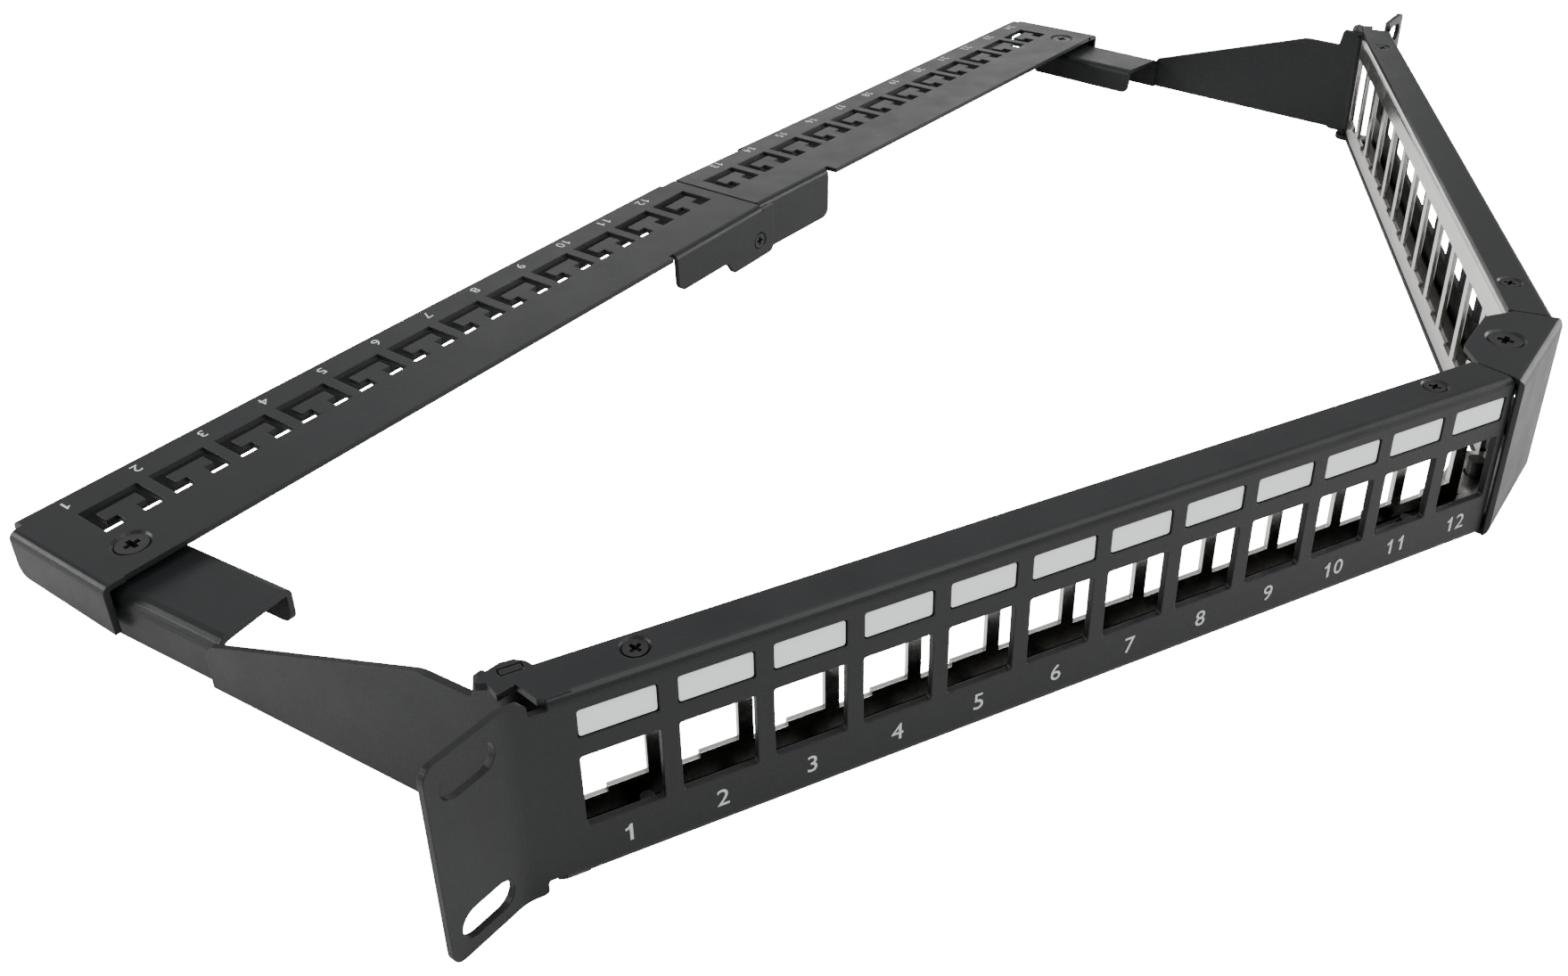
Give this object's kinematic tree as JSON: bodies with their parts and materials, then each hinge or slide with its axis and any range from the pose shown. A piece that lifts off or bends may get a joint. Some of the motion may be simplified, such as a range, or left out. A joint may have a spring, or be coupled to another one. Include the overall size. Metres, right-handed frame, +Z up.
{
  "type": "patch panel",
  "caption": "Angled one-unit rack patch panel with keystone port windows, label windows, mounting ears and a slotted rear cable bar on side arms.",
  "frame": {"origin": "middle of the footprint, on the surface that the ears stand on", "axes": "+X to the right as seen from the port side, +Y from the ports to the rear cable bar, +Z up"},
  "size_m": [0.4826, 0.2644, 0.044],
  "materials": {
    "black_powder_coat": "satin",
    "galvanised_steel": "glossy",
    "label_card": "satin",
    "black_screw": "satin"
  },
  "bodies": {
    "root": {"left_front_panel": "black_powder_coat", "right_front_panel": "black_powder_coat", "nose_bracket": "black_powder_coat", "left_arm": "black_powder_coat", "right_arm": "black_powder_coat", "left_rear_bar": "black_powder_coat", "right_rear_bar": "black_powder_coat", "left_keystone_frame": "galvanised_steel", "right_keystone_frame": "galvanised_steel", "nose_joiner_top": "galvanised_steel", "nose_joiner_bottom": "galvanised_steel", "label_strip_01": "label_card", "label_strip_02": "label_card", "label_strip_03": "label_card", "label_strip_04": "label_card", "label_strip_05": "label_card", "label_strip_06": "label_card", "label_strip_07": "label_card", "label_strip_08": "label_card", "label_strip_09": "label_card", "label_strip_10": "label_card", "label_strip_11": "label_card", "label_strip_12": "label_card", "label_strip_13": "label_card", "label_strip_14": "label_card", "label_strip_15": "label_card", "label_strip_16": "label_card", "label_strip_17": "label_card", "label_strip_18": "label_card", "label_strip_19": "label_card", "label_strip_20": "label_card", "label_strip_21": "label_card", "label_strip_22": "label_card", "label_strip_23": "label_card", "label_strip_24": "label_card", "panel_screw_left_outer_top": "black_screw", "panel_screw_left_outer_bottom": "black_screw", "panel_screw_left_inner_top": "black_screw", "panel_screw_left_inner_bottom": "black_screw", "panel_screw_right_outer_top": "black_screw", "panel_screw_right_outer_bottom": "black_screw", "panel_screw_right_inner_top": "black_screw", "panel_screw_right_inner_bottom": "black_screw", "nose_screw_top": "black_screw", "nose_screw_bottom": "black_screw", "arm_screw_left": "black_screw", "arm_screw_right": "black_screw", "bar_joint_screw": "black_screw"}
  },
  "joints": []
}
